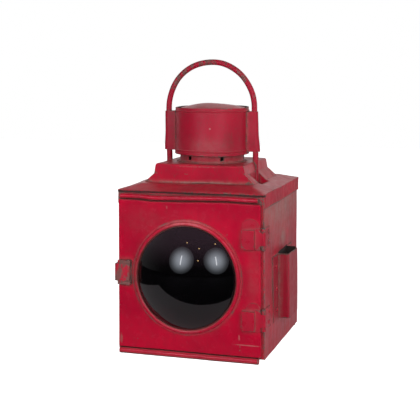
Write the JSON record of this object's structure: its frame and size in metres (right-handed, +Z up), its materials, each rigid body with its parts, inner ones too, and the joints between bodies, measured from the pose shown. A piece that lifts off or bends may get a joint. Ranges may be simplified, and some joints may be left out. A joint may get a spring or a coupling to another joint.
{
  "type": "ship lantern",
  "caption": "Square sheet-steel oil lantern with a bull's-eye lens in a hinged front door, round chimney drum, arched bar handle and side bracket socket.",
  "frame": {"origin": "on the ground under the middle of the square case, on the flat underside of the base's font well", "axes": "+Z up, -Y out through the lens, +X towards the hinge side and the bracket socket"},
  "size_m": [0.2184, 0.2382, 0.39],
  "materials": {
    "red_paint": "old crimson gloss paint on sheet steel, dulled and dusty on upward faces, worn to grey-brown metal on edges",
    "pin_steel": "plain steel, dulled and lightly rusted",
    "sooty_steel": "matt, sooted sheet steel",
    "lens_glass": "polished thick glass that reads black with the lamp unlit",
    "seal_felt": "compressed dark felt",
    "tinplate": "dull tinned steel with stains",
    "burner_brass": "aged brass, darkened by heat",
    "wick_cotton": "flat woven cotton, charred at the top",
    "mirror_metal": "silvered metal, clouded with age"
  },
  "bodies": {
    "lantern": {"case_wrap": "red_paint", "front_frame": "red_paint", "base_plate": "red_paint", "roof_plate": "red_paint", "plinth": "red_paint", "leg_cup_left": "red_paint", "leg_cup_right": "red_paint", "collar": "red_paint", "drum": "red_paint", "drum_lid": "red_paint", "lid_spacers": "red_paint", "handle": "red_paint", "handle_sleeve_left": "red_paint", "handle_sleeve_right": "red_paint", "case_hinge_upper": "red_paint", "case_hinge_lower": "red_paint", "hinge_rivets": "red_paint", "latch_keeper": "red_paint", "lamp_iron_socket": "red_paint", "socket_rivets": "red_paint", "hinge_pin_upper": "pin_steel", "hinge_pin_lower": "pin_steel", "chimney_tube": "sooty_steel", "reflector_arm": "sooty_steel", "oil_font": "tinplate", "filler_neck": "tinplate", "font_clips": "tinplate", "burner_collar": "burner_brass", "burner_base": "burner_brass", "wick_tube": "burner_brass", "burner_cone": "burner_brass", "reflector": "mirror_metal"},
    "door": {"door_panel": "red_paint", "bezel_ring": "red_paint", "lens": "lens_glass", "lens_seal": "seal_felt", "lens_clamp": "sooty_steel", "clamp_studs": "pin_steel", "clamp_nuts": "pin_steel", "door_hinge_upper": "red_paint", "door_hinge_lower": "red_paint", "latch_bracket": "red_paint", "latch_pin": "pin_steel"},
    "latch": {"latch_hasp": "red_paint"},
    "wick_spindle": {"wick_knob": "burner_brass", "wick_sprockets": "burner_brass"},
    "wick_strip": {"wick": "wick_cotton"},
    "cap": {"filler_cap": "burner_brass"}
  },
  "joints": [
    {"name": "door_swing", "type": "hinge", "parent": "lantern", "child": "door", "pos_m": [0.1005, -0.107, 0.108], "axis": [0, 0, 1], "range_deg": [0, 160]},
    {"name": "latch_turn", "type": "hinge", "parent": "door", "child": "latch", "pos_m": [-0.0825, -0.1109, 0.10855], "axis": [0, 0, 1], "range_deg": [0, 110]},
    {"name": "wick_turn", "type": "hinge", "parent": "lantern", "child": "wick_spindle", "pos_m": [0, -0.00455, 0.073], "axis": [1, 0, 0], "range_deg": [-90, 180]},
    {"name": "wick_rise", "type": "slide", "parent": "lantern", "child": "wick_strip", "axis": [0, 0, 1], "range_m": [-0.0052, 0.0103]},
    {"name": "cap_turn", "type": "hinge", "parent": "lantern", "child": "cap", "pos_m": [0.038, -0.028, 0.064], "axis": [0, 0, 1], "range_deg": [0, 540]}
  ],
  "couplings": [
    {"joint": "wick_rise", "follows": "wick_turn", "m_per_rad": 0.00325}
  ]
}
